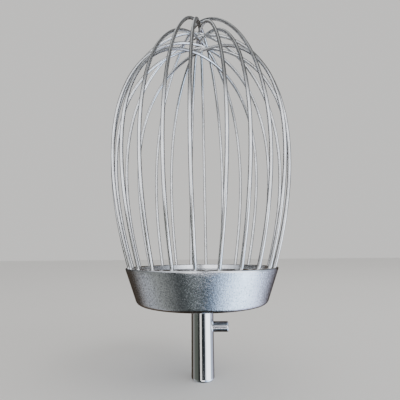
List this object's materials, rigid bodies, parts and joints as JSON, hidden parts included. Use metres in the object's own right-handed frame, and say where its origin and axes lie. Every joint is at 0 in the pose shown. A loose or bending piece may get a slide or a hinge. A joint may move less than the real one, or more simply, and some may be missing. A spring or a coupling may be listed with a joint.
{
  "type": "balloon whisk",
  "caption": "Balloon whisk for a planetary mixer: round pinned shank, tapered cast head and an egg-shaped cage of crossing wire loops.",
  "frame": {"origin": "centre of the shank's flat end face, where the mixer's socket holds it", "axes": "+Z along the whisk's axis from the shank's end to the cage's tip, +X along the drive pin that stands out of the shank"},
  "size_m": [0.1835, 0.1801, 0.3785],
  "materials": {
    "cast": "bead-blasted casting with a smooth rim edge and a turned recess",
    "shank": "ground stainless steel, bright",
    "pin": "polished dowel",
    "wire": "bright drawn stainless spring wire",
    "fastener": "plain stainless fastener"
  },
  "bodies": {
    "root": {"head": "cast", "shank": "shank", "drive_pin": "pin", "washer": "fastener", "nut": "fastener", "wire_loop_01": "wire", "wire_loop_02": "wire", "wire_loop_03": "wire", "wire_loop_04": "wire", "wire_loop_05": "wire", "wire_loop_06": "wire", "wire_loop_07": "wire", "wire_loop_08": "wire", "wire_loop_09": "wire", "wire_loop_10": "wire", "wire_loop_11": "wire", "wire_loop_12": "wire"}
  },
  "joints": []
}
